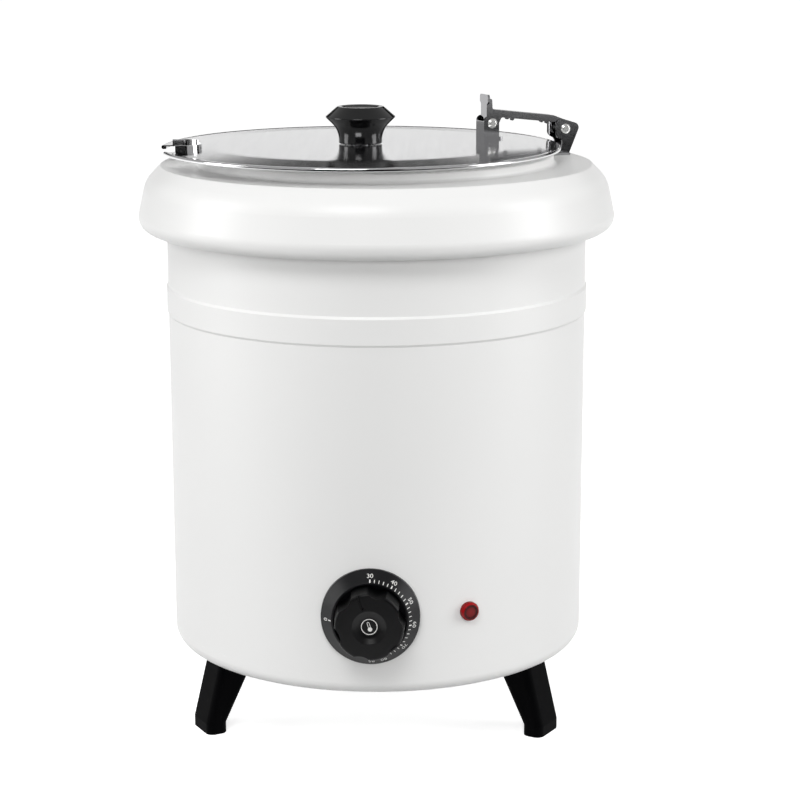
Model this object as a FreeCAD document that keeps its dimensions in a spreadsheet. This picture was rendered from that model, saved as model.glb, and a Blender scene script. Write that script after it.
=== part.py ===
import FreeCAD, Part
import math
import os
import Sketcher

# Soup kettle: insulated wet-well body, lift-out pot, hinged lid and a dial thermostat.
# Frame: millimetres, floor at z = 0, kettle axis on Z, dial faces -Y, hinge back right.

os.makedirs("parts", exist_ok=True)
doc = FreeCAD.newDocument("SoupKettle")
sheet = doc.addObject("Spreadsheet::Sheet", "sizes")
Vector = FreeCAD.Vector
Placement = FreeCAD.Placement
Rotation = FreeCAD.Rotation


class Size:
    """A length with its number and the expression that a property is bound to."""

    def __init__(self, value, text):
        self.value = value
        self.text = text

    def __add__(self, other):
        other = sized(other)
        return Size(self.value + other.value, f"({self.text} + {other.text})")

    def __sub__(self, other):
        other = sized(other)
        return Size(self.value - other.value, f"({self.text} - {other.text})")

    def __mul__(self, other):
        other = sized(other)
        return Size(self.value * other.value, f"({self.text} * {other.text})")

    def __truediv__(self, other):
        other = sized(other)
        return Size(self.value / other.value, f"({self.text} / {other.text})")

    def __radd__(self, other):
        return sized(other) + self

    def __rsub__(self, other):
        return sized(other) - self

    def __rmul__(self, other):
        return sized(other) * self

    def __neg__(self):
        return Size(-self.value, f"(0 - {self.text})")


def sized(number):
    """Wrap a plain number so that it can stand in an expression."""
    return number if isinstance(number, Size) else Size(float(number), repr(float(number)))


def sine(angle):
    return Size(math.sin(math.radians(angle.value)), f"sin({angle.text} * 1 deg)")


def cosine(angle):
    return Size(math.cos(math.radians(angle.value)), f"cos({angle.text} * 1 deg)")


class Dimensions:
    """The driving dimensions, one attribute per named cell of the sheet."""


# Driving dimensions, millimetres and degrees.
sizes = {
    "foot_height": 52,  # floor to the underside of the base pan
    "pan_skirt": 12,  # base pan underside to the casing seam
    "pan_corner": 8,  # outer corner radius of the base pan
    "pan_lip": 10,  # lip of the pan inside the casing
    "casing_radius": 140,  # outside of the casing
    "casing_height": 310.4,  # seam to the top of the casing
    "casing_wall": 1.2,  # steel sheet of casing and pan
    "casing_flange": 8,  # inward flange at the top of the casing
    "seat_gap": 0.1,  # gap of a part pushed inside another
    "band_drop": 78.4,  # casing top to the upper bead of the raised band
    "band_height": 17.6,  # lower bead to upper bead
    "band_rise": 1.0,  # band in front of the casing
    "band_slope": 1.6,  # height of each bead
    "rim_wall": 1.6,  # rim ring sheet
    "rim_overhang": 3.3,  # casing to the crease of the rim top
    "shelf_width": 25.3,  # collar to the crease of the rim top
    "shoulder_out": 10.3,  # crease to the rim shoulder, outward
    "shoulder_down": 10.4,  # crease to the rim shoulder, downward
    "shoulder_round": 20,  # rim shoulder radius
    "lip_out": 17.3,  # crease to the rim lower corner, outward
    "lip_down": 42,  # crease to the rim lower corner, downward
    "lip_round": 9,  # rim lower corner radius
    "lip_gap": 0.4,  # casing to the inner edge of the rim lip
    "collar_height": 7.4,  # collar above the rim shelf
    "collar_ledge": 5,  # collar to the outside of the water well
    "well_wall": 0.8,  # water well sheet
    "well_depth": 254,  # collar top to the underside of the well
    "well_corner": 13,  # lower corner radius of the well
    "water_gap": 2.5,  # pot to well
    "pot_wall": 0.8,  # pot sheet
    "pot_base_gap": 8,  # pot underside above the well floor
    "pot_corner": 14,  # lower corner radius of the pot
    "pot_bead": 1.0,  # rolled edge of the pot above its flange
    "lid_offset": 11,  # lid centre away from the hinge
    "lid_overhang": 14.6,  # lid edge beyond the collar
    "lid_rise": 5.2,  # collar top to the lid top
    "lid_wall": 0.8,  # lid sheet
    "lid_flat": 100,  # radius of the flat of the lid
    "lid_fall": 1.2,  # fall of the lid toward its edge
    "hem_width": 3.2,  # rolled hem of the lid
    "hem_height": 2.8,  # rolled hem of the lid
    "notch_depth": 26.2,  # ladle notch from the lid edge
    "notch_width": 40.4,  # clear width of the ladle notch
    "notch_round": 11,  # inner corner radius of the notch
    "notch_rise": 2.7,  # raised flange round the notch
    "notch_wall": 1.1,  # flange sheet round the notch
    "notch_turn": -13,  # ladle notch from the line opposite the hinge, degrees
    "notch_mouth": 0.5,  # corner radius of the flange ends
    "notch_lip": 9,  # flange ends in from the lid edge
    "grip_gap": 0.5,  # lid to the lid knob
    "grip_neck": 14.4,  # neck radius of the lid knob
    "grip_radius": 23.4,  # widest radius of the lid knob
    "grip_top": 15.4,  # top radius of the lid knob
    "grip_belly": 17.4,  # lid knob base to its widest edge
    "grip_height": 24.2,  # height of the lid knob
    "grip_bore": 12,  # depth of the lid knob thread
    "grip_screw": 2.5,  # radius of the lid knob screw
    "hinge_azimuth": 21.9,  # hinge from +X toward +Y, degrees
    "hinge_inset": 8.3,  # crease of the rim to the base pivot
    "hinge_stand": 17.7,  # rim shelf to the base pivot
    "arm_reach": 54.2,  # base pivot to lid pivot, radially
    "pivot_stand": 10.6,  # lid top to the lid pivot
    "hinge_width": 14,  # outside width of the hinge cheeks
    "hinge_foot_width": 20,  # width of the hinge base flange
    "hinge_sheet": 1.5,  # hinge sheet
    "hinge_play": 0.4,  # side gap between arm and bracket
    "pin_radius": 2.0,  # hinge pins
    "pin_play": 0.06,  # radial running gap of the hinge pins
    "pin_head": 3.4,  # head radius of the hinge pins
    "pin_head_height": 1.4,  # head height of the hinge pins
    "rivet_radius": 1.6,  # lid bracket rivets
    "rivet_pitch": 6,  # distance between the lid bracket rivets
    "rivet_shift": 1.5,  # middle of the rivets outward from the lid pivot
    "hinge_screw": 2.0,  # radius of the hinge base screws
    "hinge_screw_pitch": 10,  # distance between the hinge base screws
    "dial_height": 105.1,  # floor to the dial axis
    "bezel_radius": 31.4,  # dial bezel
    "bezel_depth": 9.2,  # inner edge of the bezel cone in front of the casing
    "bezel_edge": 1.8,  # outer edge of the bezel cone in front of the casing
    "bezel_floor": 1.6,  # recess floor in front of the casing
    "bezel_recess": 23.4,  # recess radius behind the knob
    "knob_base": 22.4,  # control knob radius at the bezel
    "knob_face": 21.8,  # control knob radius at its face
    "knob_length": 20,  # control knob length
    "knob_gap": 2.2,  # bezel floor to the knob
    "knob_dish": 10.8,  # dish radius in the knob face
    "flute_radius": 11,  # radius of the finger scallops
    "flute_depth": 2.2,  # depth of the finger scallops
    "flute_angle": 13,  # first scallop clockwise from the top, degrees
    "pointer_angle": 17,  # pointer counter-clockwise from the top, degrees
    "spindle_radius": 3.0,  # thermostat spindle
    "spindle_play": 0.06,  # radial running gap of the spindle
    "stat_width": 36,  # thermostat body width and height
    "stat_depth": 28,  # thermostat body depth
    "stat_setback": 9,  # casing to the thermostat face
    "stat_screw": 2.0,  # radius of the thermostat screws
    "stat_screw_pitch": 28,  # distance between the thermostat screws
    "lamp_azimuth": 26.3,  # pilot lamp from the dial, degrees
    "lamp_height": 104.4,  # floor to the lamp axis
    "lamp_radius": 6.2,  # lamp lens
    "lamp_length": 4.0,  # lens in front of the casing
    "lamp_neck": 4.6,  # lamp holder neck radius
    "gland_height": 85,  # floor to the cord inlet
    "gland_radius": 9.5,  # cord inlet flange
    "gland_neck": 7.6,  # cord inlet neck radius
    "gland_mouth": 5.4,  # radius of the wide inner end of the cord inlet
    "cord_radius": 3.75,  # cord opening of the inlet
    "element_radius": 75,  # centre line of the heating element
    "element_tube": 4,  # tube radius of the heating element
    "element_sweep": 330,  # turn of the heating element, degrees
    "element_start": 105,  # first end of the heating element, degrees
    "clamp_radius": 88,  # element clamp plate
    "clamp_wall": 1.5,  # element clamp plate
    "rod_circle": 60,  # circle of the tie rods
    "rod_radius": 2.5,  # tie rods
    "rod_gap": 0.3,  # radial gap of the tie rods in the plates
    "nut_flats": 8,  # across flats of the tie rod nuts
    "nut_height": 4,  # height of the tie rod nuts
    "foot_azimuth": 60,  # front feet from the dial, degrees
    "foot_width": 27.6,  # width of a foot
    "foot_top_in": 98,  # inner edge of a foot at the pan
    "foot_top_out": 124.2,  # outer edge of a foot at the pan
    "foot_floor_in": 121.5,  # inner edge of a foot at the floor
    "foot_floor_out": 135.8,  # outer edge of a foot at the floor
    "foot_sole": 7,  # straight part above the floor
    "foot_round": 5,  # corner radius of a foot
    "foot_screw": 2.0,  # radius of the foot screws
    "foot_screw_head": 3.8,  # head radius of the foot screws
    "foot_grip": 10,  # plastic held under the pan by the foot screw
}

dim = Dimensions()
for row, (name, number) in enumerate(sizes.items(), 1):
    sheet.set(f"A{row}", name)
    sheet.set(f"B{row}", str(number))
    sheet.setAlias(f"B{row}", name)
    setattr(dim, name, Size(float(number), f"sizes.{name}"))
doc.recompute()

# Heights and radii that follow from the driving dimensions.
seam = dim.foot_height + dim.pan_skirt
casingTop = seam + dim.casing_height
rimTop = casingTop + dim.rim_wall
bandTop = casingTop - dim.band_drop
bandFoot = bandTop - dim.band_height
crease = dim.casing_radius + dim.rim_overhang
collarRadius = crease - dim.shelf_width
collarTop = rimTop + dim.collar_height
wellOuter = collarRadius - dim.collar_ledge
wellInner = wellOuter - dim.well_wall
wellFloor = collarTop - dim.well_depth
potOuter = wellInner - dim.water_gap
potInner = potOuter - dim.pot_wall
potFloor = wellFloor + dim.well_wall + dim.pot_base_gap
potFlange = collarTop + dim.well_wall
lidRadius = collarRadius + dim.lid_overhang
lidTop = collarTop + dim.lid_rise
lidCentre = (-dim.lid_offset * cosine(dim.hinge_azimuth), -dim.lid_offset * sine(dim.hinge_azimuth))
gripBase = lidTop + dim.grip_gap
basePivot = (crease - dim.hinge_inset, rimTop + dim.hinge_stand)
lidPivot = (basePivot[0] - dim.arm_reach, lidTop + dim.pivot_stand)
armWidth = dim.hinge_width - dim.hinge_sheet * 2 - dim.hinge_play * 2
bezelFace = dim.casing_radius + dim.bezel_depth
bezelFloor = dim.casing_radius + dim.bezel_floor
knobBack = bezelFloor + dim.knob_gap
knobFront = knobBack + dim.knob_length
statFace = dim.casing_radius - dim.stat_setback
casingInner = dim.casing_radius - dim.casing_wall
clampTop = wellFloor - dim.element_tube * 2 - dim.seat_gap * 2
footScrewCircle = (dim.foot_top_in + dim.foot_top_out) / 2

rodAngles = [90 + third * 120 for third in range(3)]
nodes = []


def keep(label, item):
    """Name a finished sub-part and put it on the export list."""
    item.Label = label
    nodes.append((label, item))
    return item


def bind(item, prop, size):
    """Give a property its number and tie it to the sheet."""
    item.setExpression(prop, sized(size).text)


def addBody(label):
    body = doc.addObject("PartDesign::Body", label)
    body.AllowCompound = True
    return body


def originItem(body, role):
    return [item for item in body.Origin.OriginFeatures if item.Role == role][0]


def addSketch(body, plane, offset=(0, 0, 0), turn=None):
    """Sketch on an origin plane, moved by offset in the plane's own axes.

    turn is an (axis, angle) pair, in the plane's own axes too.
    """
    sketch = body.newObject("Sketcher::SketchObject", body.Name + "Sketch")
    sketch.AttachmentSupport = [(originItem(body, plane), "")]
    sketch.MapMode = "FlatFace"
    axis, angle = turn if turn else ((0, 0, 1), 0)
    spot = [sized(value) for value in offset]
    sketch.AttachmentOffset = Placement(
        Vector(*[value.value for value in spot]), Rotation(Vector(*axis), sized(angle).value)
    )
    for name, value in zip("xyz", spot):
        if "sizes" in value.text:
            bind(sketch, f"AttachmentOffset.Base.{name}", value)
    if isinstance(angle, Size):
        bind(sketch, "AttachmentOffset.Rotation.Angle", angle)
    return sketch


def pinPoint(sketch, geometry, end, along, size):
    """Fix one coordinate of a sketch point from the sketch origin."""
    size = sized(size)
    if abs(size.value) < 1e-9:
        axis = -2 if along == "X" else -1
        sketch.addConstraint(Sketcher.Constraint("PointOnObject", geometry, end, axis))
        return
    kind = "Distance" + along
    if size.value > 0:
        rule = Sketcher.Constraint(kind, -1, 1, geometry, end, size.value)
        text = size.text
    else:
        rule = Sketcher.Constraint(kind, geometry, end, -1, 1, -size.value)
        text = (-size).text
    index = sketch.addConstraint(rule)
    if "sizes" in text:
        sketch.setExpression(f"Constraints[{index}]", text)


def roundedCorner(before, here, after, radius):
    """Tangent points and centre of a round of given radius at a corner."""
    toBefore = (before - here).normalize()
    toAfter = (after - here).normalize()
    half = toBefore.getAngle(toAfter) / 2
    reach = radius / math.tan(half)
    middle = (toBefore + toAfter).normalize()
    return here + toBefore * reach, here + toAfter * reach, here + middle * (radius / math.sin(half))


def drawProfile(sketch, corners):
    """Closed outline through (x, y) or (x, y, round) corners, each tied to the sheet."""
    spots = [Vector(sized(c[0]).value, sized(c[1]).value, 0) for c in corners]
    count = len(corners)
    entries, leaves, centres = [], [], []
    for i in range(count):
        if len(corners[i]) == 2:
            entries.append(spots[i])
            leaves.append(spots[i])
            centres.append(None)
            continue
        radius = sized(corners[i][2]).value
        entry, leave, centre = roundedCorner(spots[i - 1], spots[i], spots[(i + 1) % count], radius)
        entries.append(entry)
        leaves.append(leave)
        centres.append(centre)
    lines = []
    for i in range(count):
        lines.append(sketch.addGeometry(Part.LineSegment(leaves[i], entries[(i + 1) % count])))
    for i in range(count):
        incoming, outgoing = lines[i - 1], lines[i]
        if centres[i] is None:
            sketch.addConstraint(Sketcher.Constraint("Coincident", incoming, 2, outgoing, 1))
            pinPoint(sketch, outgoing, 1, "X", corners[i][0])
            pinPoint(sketch, outgoing, 1, "Y", corners[i][1])
            continue
        start, finish = entries[i] - centres[i], leaves[i] - centres[i]
        leftTurn = start.cross(finish).z > 0
        first, last = (start, finish) if leftTurn else (finish, start)
        circle = Part.Circle(centres[i], Vector(0, 0, 1), start.Length)
        begin, end = math.atan2(first.y, first.x), math.atan2(last.y, last.x)
        if end < begin:
            end += 2 * math.pi
        arc = sketch.addGeometry(Part.ArcOfCircle(circle, begin, end))
        corner = sketch.addGeometry(Part.Point(spots[i]), True)
        sketch.addConstraint(Sketcher.Constraint("PointOnObject", corner, 1, incoming))
        sketch.addConstraint(Sketcher.Constraint("PointOnObject", corner, 1, outgoing))
        sketch.addConstraint(Sketcher.Constraint("Tangent", incoming, 2, arc, 1 if leftTurn else 2))
        sketch.addConstraint(Sketcher.Constraint("Tangent", outgoing, 1, arc, 2 if leftTurn else 1))
        radius = sized(corners[i][2])
        index = sketch.addConstraint(Sketcher.Constraint("Radius", arc, radius.value))
        if "sizes" in radius.text:
            sketch.setExpression(f"Constraints[{index}]", radius.text)
        pinPoint(sketch, corner, 1, "X", corners[i][0])
        pinPoint(sketch, corner, 1, "Y", corners[i][1])


def drawCircle(sketch, x, y, radius):
    radius = sized(radius)
    spot = Vector(sized(x).value, sized(y).value, 0)
    circle = sketch.addGeometry(Part.Circle(spot, Vector(0, 0, 1), radius.value))
    index = sketch.addConstraint(Sketcher.Constraint("Radius", circle, radius.value))
    if "sizes" in radius.text:
        sketch.setExpression(f"Constraints[{index}]", radius.text)
    pinPoint(sketch, circle, 3, "X", x)
    pinPoint(sketch, circle, 3, "Y", y)


def hexagon(x, y, flats):
    """Corners of a nut with two flats square to the sketch's Y axis."""
    point = flats / math.sqrt(3)
    side = flats / 2
    return [
        (x + point, y),
        (x + point / 2, y + side),
        (x - point / 2, y + side),
        (x - point, y),
        (x - point / 2, y - side),
        (x + point / 2, y - side),
    ]


def revolve(body, corners, plane="XZ_Plane", offset=(0, 0, 0)):
    """Turn an outline of (radius, height) corners about the sketch's own upright axis."""
    sketch = addSketch(body, plane, offset)
    drawProfile(sketch, corners)
    turned = body.newObject("PartDesign::Revolution", body.Name + "Turn")
    turned.Profile = sketch
    turned.ReferenceAxis = (sketch, ["V_Axis"])
    turned.Angle = 360
    return turned


def pad(body, sketch, length, symmetric=False, flip=False):
    item = body.newObject("PartDesign::Pad", body.Name + "Pad")
    item.Profile = sketch
    item.SideType = "Symmetric" if symmetric else "One side"
    item.Reversed = flip
    bind(item, "Length", length)
    return item


def pocket(body, sketch, length=None, symmetric=False, flip=False):
    """Cut a sketch out of the body; through everything when no length is given."""
    item = body.newObject("PartDesign::Pocket", body.Name + "Pocket")
    item.Profile = sketch
    item.SideType = "Symmetric" if symmetric else "One side"
    item.Reversed = flip
    if length is None:
        item.Type = "ThroughAll"
    else:
        bind(item, "Length", length)
    return item


def polar(body, feature, count, axis=None):
    """Repeat a feature round the body's Z axis, or round a sketch normal."""
    pattern = body.newObject("PartDesign::PolarPattern", body.Name + "Ring")
    pattern.Originals = [feature]
    pattern.Axis = (axis, ["N_Axis"]) if axis else (originItem(body, "Z_Axis"), [""])
    pattern.Angle = 360
    pattern.Occurrences = count
    body.Tip = pattern
    return pattern


def turnAboutZ(item, angle, shift=None):
    """Place a part by turning it round the kettle axis, with an optional shift."""
    item.Placement = Placement(Vector(0, 0, 0), Rotation(Vector(0, 0, 1), 1))
    bind(item, "Placement.Rotation.Angle", angle)
    if shift:
        bind(item, "Placement.Base.x", shift[0])
        bind(item, "Placement.Base.y", shift[1])


def wallHole(body, azimuth, height, radius, x=0):
    """Round hole through the casing wall, azimuth measured from the dial."""
    sketch = addSketch(body, "XZ_Plane", turn=((0, 1, 0), azimuth))
    drawCircle(sketch, x, height, radius)
    pocket(body, sketch, flip=True)


def uprightHoles(body, spots, radius, turn=None):
    """Round holes along Z through the body at (x, y) spots."""
    sketch = addSketch(body, "XY_Plane", turn=((0, 0, 1), turn) if turn else None)
    for x, y in spots:
        drawCircle(sketch, x, y, radius)
    pocket(body, sketch, symmetric=True)


def onCircle(radius, degrees):
    angle = math.radians(degrees)
    return radius * math.cos(angle), radius * math.sin(angle)


def fastenerRing(label, corners, circle, count, start):
    """Equal turned parts on a circle round the kettle axis."""
    body = addBody(label)
    turned = revolve(body, corners, offset=(circle, 0, 0))
    polar(body, turned, count)
    turnAboutZ(body, start)
    return keep(label, body)


def nutRing(label, circle, height, flats, thick, bore, count, start):
    """Equal hexagon nuts on a circle round the kettle axis, standing on a height."""
    body = addBody(label)
    sketch = addSketch(body, "XY_Plane", offset=(circle, 0, height))
    drawProfile(sketch, hexagon(sized(0), sized(0), flats))
    drawCircle(sketch, 0, 0, bore)
    polar(body, pad(body, sketch, thick), count)
    turnAboutZ(body, start)
    return keep(label, body)


def makeCasing():
    body = addBody("outer_casing")
    outer, inner = dim.casing_radius, casingInner
    ease = dim.band_slope / 2
    revolve(body, [
        (outer, seam),
        (outer, bandFoot - ease),
        (outer + dim.band_rise, bandFoot + ease),
        (outer + dim.band_rise, bandTop - ease),
        (outer, bandTop + ease),
        (outer, casingTop, dim.casing_wall * 1.5),
        (outer - dim.casing_flange, casingTop),
        (outer - dim.casing_flange, casingTop - dim.casing_wall),
        (inner, casingTop - dim.casing_wall),
        (inner, bandTop + ease),
        (inner + dim.band_rise, bandTop - ease),
        (inner + dim.band_rise, bandFoot + ease),
        (inner, bandFoot - ease),
        (inner, seam),
    ])
    wallHole(body, 0, dim.dial_height, dim.spindle_radius + 2.2)
    half = dim.stat_screw_pitch / 2
    wallHole(body, 0, dim.dial_height, dim.stat_screw + dim.seat_gap, half)
    wallHole(body, 0, dim.dial_height, dim.stat_screw + dim.seat_gap, -half)
    wallHole(body, dim.lamp_azimuth, dim.lamp_height, dim.lamp_neck + dim.seat_gap)
    wallHole(body, 180, dim.gland_height, dim.gland_neck + dim.seat_gap)
    keep("outer_casing", body)


def makeBasePan():
    body = addBody("base_pan")
    low = dim.foot_height
    lipOuter = casingInner - dim.seat_gap
    lipInner = lipOuter - dim.casing_wall
    revolve(body, [
        (0, low),
        (dim.casing_radius, low, dim.pan_corner),
        (dim.casing_radius, seam),
        (lipOuter, seam),
        (lipOuter, seam + dim.pan_lip),
        (lipInner, seam + dim.pan_lip),
        (lipInner, seam - dim.casing_wall),
        (casingInner, seam - dim.casing_wall),
        (casingInner, low + dim.casing_wall, dim.pan_corner - dim.casing_wall),
        (0, low + dim.casing_wall),
    ])
    slot = addSketch(body, "XY_Plane", turn=((0, 0, 1), 15))
    drawProfile(slot, [
        (dim.rod_circle + 14, sized(-2.2), 2.1),
        (dim.rod_circle + 36, sized(-2.2), 2.1),
        (dim.rod_circle + 36, sized(2.2), 2.1),
        (dim.rod_circle + 14, sized(2.2), 2.1),
    ])
    polar(body, pocket(body, slot, symmetric=True), 12)
    uprightHoles(body, [onCircle(dim.rod_circle, angle) for angle in rodAngles], dim.rod_radius + dim.rod_gap)
    uprightHoles(body, [(sized(0), footScrewCircle)], dim.foot_screw + dim.seat_gap)
    for side in (1, -1):
        spot = (footScrewCircle * sine(dim.foot_azimuth) * side, -footScrewCircle * cosine(dim.foot_azimuth))
        uprightHoles(body, [spot], dim.foot_screw + dim.seat_gap)
    keep("base_pan", body)


def makeFoot(label, azimuth):
    """A splayed foot in its own radial frame, turned to its place."""
    body = addBody(label)
    half = dim.foot_width / 2
    bend = dim.foot_round

    def section(height, near, far):
        sketch = addSketch(body, "XY_Plane", offset=(0, 0, height))
        drawProfile(sketch, [
            (near, -half, bend), (far, -half, bend), (far, half, bend), (near, half, bend)
        ])
        return sketch

    floor = section(sized(0), dim.foot_floor_in, dim.foot_floor_out)
    pad(body, floor, dim.foot_sole)
    lower = section(dim.foot_sole, dim.foot_floor_in, dim.foot_floor_out)
    upper = section(dim.foot_height, dim.foot_top_in, dim.foot_top_out)
    loft = body.newObject("PartDesign::AdditiveLoft", label + "Loft")
    loft.Profile = lower
    loft.Sections = [upper]
    loft.Ruled = True
    bore = addSketch(body, "XY_Plane")
    drawCircle(bore, footScrewCircle, 0, dim.foot_screw_head + 1)
    pocket(body, bore, dim.foot_height - dim.foot_grip, flip=True)
    shank = addSketch(body, "XY_Plane")
    drawCircle(shank, footScrewCircle, 0, dim.foot_screw + dim.seat_gap)
    pocket(body, shank, symmetric=True)
    turnAboutZ(body, azimuth)
    keep(label, body)


def makeFootFasteners():
    head = dim.foot_height - dim.foot_grip
    fastenerRing("foot_screws", [
        (0, head - 2.8),
        (dim.foot_screw_head, head - 2.8, 1),
        (dim.foot_screw_head, head),
        (dim.foot_screw, head),
        (dim.foot_screw, dim.foot_height + 7),
        (0, dim.foot_height + 7),
    ], footScrewCircle, 3, 90)
    top = dim.foot_height + dim.casing_wall
    nutRing("foot_nuts", footScrewCircle, top, sized(7), sized(3.2), dim.foot_screw, 3, 90)


def makeRim():
    body = addBody("rim_ring")
    wall = dim.rim_wall
    shoulder = (crease + dim.shoulder_out, rimTop - dim.shoulder_down)
    lip = (crease + dim.lip_out, rimTop - dim.lip_down)
    edge = dim.casing_radius + dim.lip_gap
    # The inner skin runs one wall inside the outer one; the factors move each corner square to both sides.
    revolve(body, [
        (wellOuter + dim.lip_gap, collarTop),
        (collarRadius, collarTop, 2.0),
        (collarRadius, rimTop, 2.2),
        (crease, rimTop, 1.5),
        (shoulder[0], shoulder[1], dim.shoulder_round),
        (lip[0], lip[1], dim.lip_round),
        (edge, lip[1] - wall),
        (edge, lip[1]),
        (lip[0] - wall * 1.225, lip[1] + wall * 0.906, dim.lip_round - wall),
        (shoulder[0] - wall * 0.914, shoulder[1] - wall * 0.498, dim.shoulder_round - wall),
        (crease - wall * 0.417, rimTop - wall),
        (collarRadius - wall, rimTop - wall),
        (collarRadius - wall, collarTop - wall),
        (wellOuter + dim.lip_gap, collarTop - wall),
    ])
    half = dim.hinge_screw_pitch / 2
    spot = hingeScrewRadius()
    uprightHoles(body, [(spot, half), (spot, -half)], dim.hinge_screw + dim.seat_gap, dim.hinge_azimuth)
    keep("rim_ring", body)


def hingeScrewRadius():
    """Screws of the hinge base, between the collar and the casing flange."""
    return dim.casing_radius - dim.casing_flange - 5.2


def makeWell():
    body = addBody("water_well")
    wall = dim.well_wall
    revolve(body, [
        (0, wellFloor),
        (wellOuter, wellFloor, dim.well_corner),
        (wellOuter, collarTop),
        (collarRadius - 2, collarTop),
        (collarRadius - 2, collarTop + wall),
        (wellInner, collarTop + wall),
        (wellInner, wellFloor + wall, dim.well_corner - wall),
        (0, wellFloor + wall),
    ])
    keep("water_well", body)


def makePot():
    body = addBody("soup_pot")
    wall = dim.pot_wall
    edge = collarRadius - 1
    bead = potFlange + wall + dim.pot_bead
    revolve(body, [
        (0, potFloor),
        (potOuter, potFloor, dim.pot_corner),
        (potOuter, potFlange),
        (edge, potFlange, 0.6),
        (edge, bead, 0.8),
        (edge - 2.6, bead, 0.6),
        (edge - 2.6, potFlange + wall),
        (potInner, potFlange + wall, 1.2),
        (potInner, potFloor + wall, dim.pot_corner - wall),
        (0, potFloor + wall),
    ])
    keep("soup_pot", body)


def makeHeating():
    ring = doc.addObject("Part::Torus", "elementRing")
    bind(ring, "Radius1", dim.element_radius)
    bind(ring, "Radius2", dim.element_tube)
    bind(ring, "Angle3", dim.element_sweep)
    middle = wellFloor - dim.element_tube - dim.seat_gap
    bind(ring, "Placement.Base.z", middle)
    pins = []
    for angle in (sized(0), dim.element_sweep):
        pin = doc.addObject("Part::Cylinder", "elementPin")
        bind(pin, "Radius", dim.element_tube - 1)
        bind(pin, "Height", sized(24))
        bind(pin, "Placement.Base.x", dim.element_radius * cosine(angle))
        bind(pin, "Placement.Base.y", dim.element_radius * sine(angle))
        bind(pin, "Placement.Base.z", middle - 24)
        pins.append(pin)
    element = doc.addObject("Part::MultiFuse", "heating_element")
    element.Shapes = [ring] + pins
    turnAboutZ(element, dim.element_start)
    keep("heating_element", element)

    plate = addBody("element_clamp_plate")
    disc = addSketch(plate, "XY_Plane", offset=(0, 0, clampTop))
    drawCircle(disc, 0, 0, dim.clamp_radius)
    pad(plate, disc, dim.clamp_wall, flip=True)
    uprightHoles(plate, [onCircle(dim.rod_circle, angle) for angle in rodAngles], dim.rod_radius + dim.rod_gap)
    ends = [dim.element_start, dim.element_start + dim.element_sweep]
    spots = [(dim.element_radius * cosine(a), dim.element_radius * sine(a)) for a in ends]
    uprightHoles(plate, spots, dim.element_tube + 1)
    uprightHoles(plate, [(sized(0), sized(0))], sized(14))
    keep("element_clamp_plate", plate)

    rodFoot = dim.foot_height - dim.nut_height - 3
    fastenerRing("tie_rods", [
        (0, rodFoot),
        (dim.rod_radius, rodFoot, 0.6),
        (dim.rod_radius, wellFloor),
        (0, wellFloor),
    ], dim.rod_circle, 3, 90)
    nut = dim.nut_height
    under = clampTop - dim.clamp_wall - nut
    nutRing("clamp_nuts", dim.rod_circle, under, dim.nut_flats, nut, dim.rod_radius, 3, 90)
    nutRing("base_nuts", dim.rod_circle, dim.foot_height - nut, dim.nut_flats, nut, dim.rod_radius, 3, 90)

    cutout = addBody("thermal_cutout")
    revolve(cutout, [
        (0, wellFloor - 12),
        (9, wellFloor - 12, 1),
        (9, wellFloor - 1.5),
        (12, wellFloor - 1.5),
        (12, wellFloor),
        (0, wellFloor),
    ])
    keep("thermal_cutout", cutout)


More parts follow.
